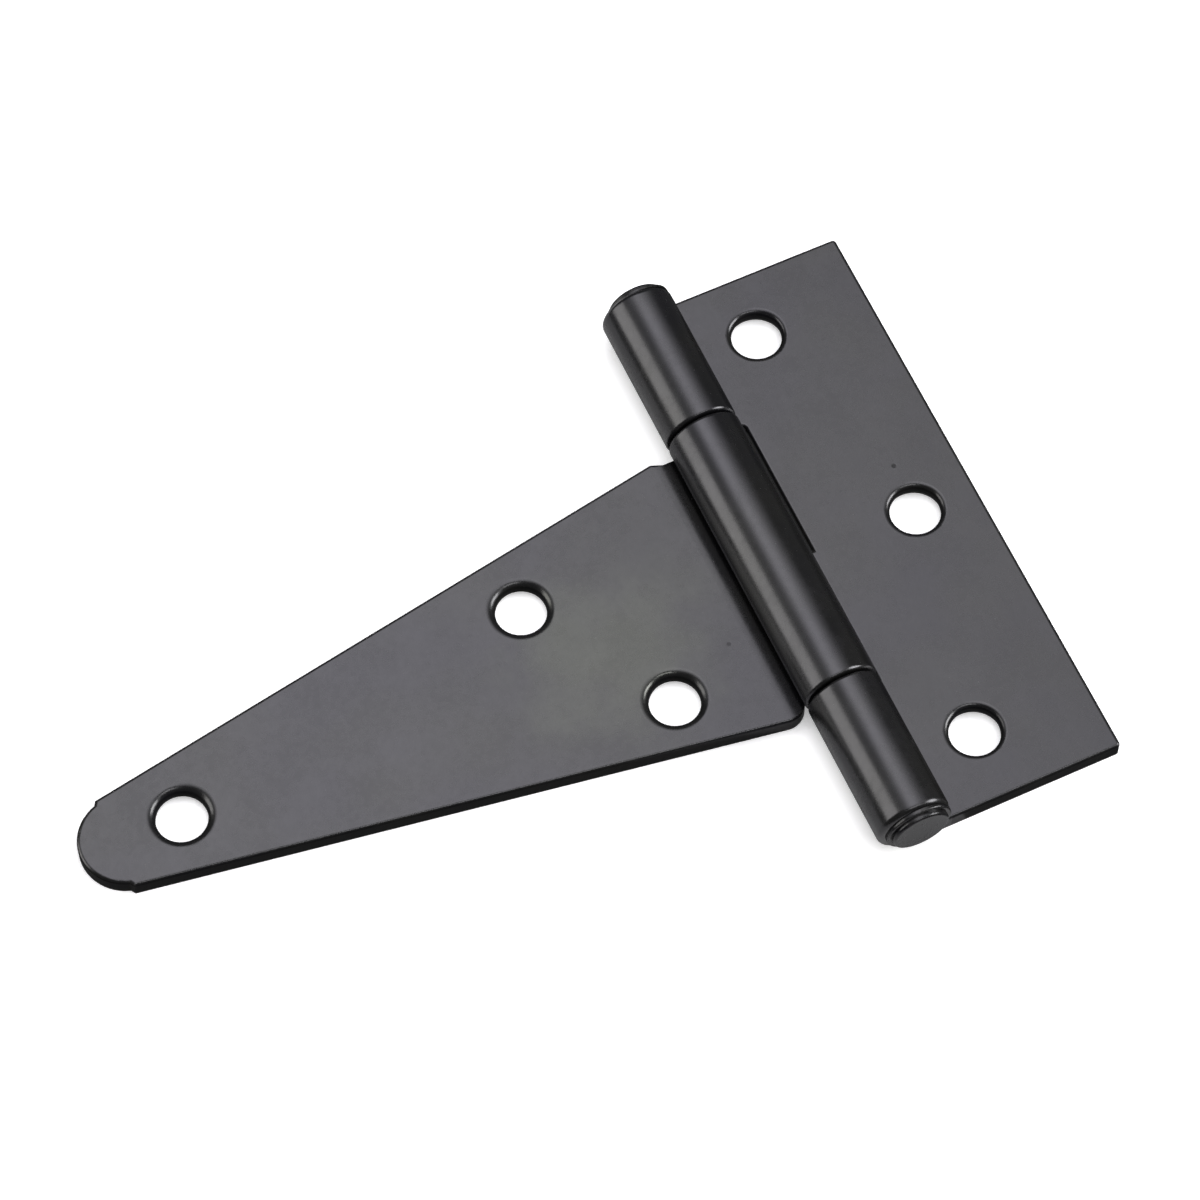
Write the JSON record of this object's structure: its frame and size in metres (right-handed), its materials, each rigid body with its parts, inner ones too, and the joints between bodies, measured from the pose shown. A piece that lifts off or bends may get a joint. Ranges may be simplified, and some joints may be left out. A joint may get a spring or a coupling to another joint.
{
  "type": "t hinge",
  "caption": "T-shaped strap hinge: rectangular butt leaf and tapered strap leaf with round screw holes, turning on a pin held in a rolled barrel.",
  "frame": {"origin": "on the back plane of the leaves, under the pin at its mid-length", "axes": "+X across the butt leaf, with the strap pointing to -X; +Y along the pin; +Z out of the front, the side of the barrel and the mouths of the screw holes"},
  "size_m": [0.1161, 0.0782, 0.0093],
  "materials": {
    "butt_leaf": "satin black coating on steel",
    "strap_leaf": "satin black coating on steel",
    "hinge_pin": "satin black coating on steel"
  },
  "bodies": {
    "butt": {"butt_leaf": "butt_leaf", "hinge_pin": "hinge_pin"},
    "strap": {"strap_leaf": "strap_leaf"}
  },
  "joints": [
    {"name": "strap_swing", "type": "hinge", "parent": "butt", "child": "strap", "pos_m": [0, 0, 0.00465], "axis": [0, 1, 0], "range_deg": [-95, 189]}
  ]
}
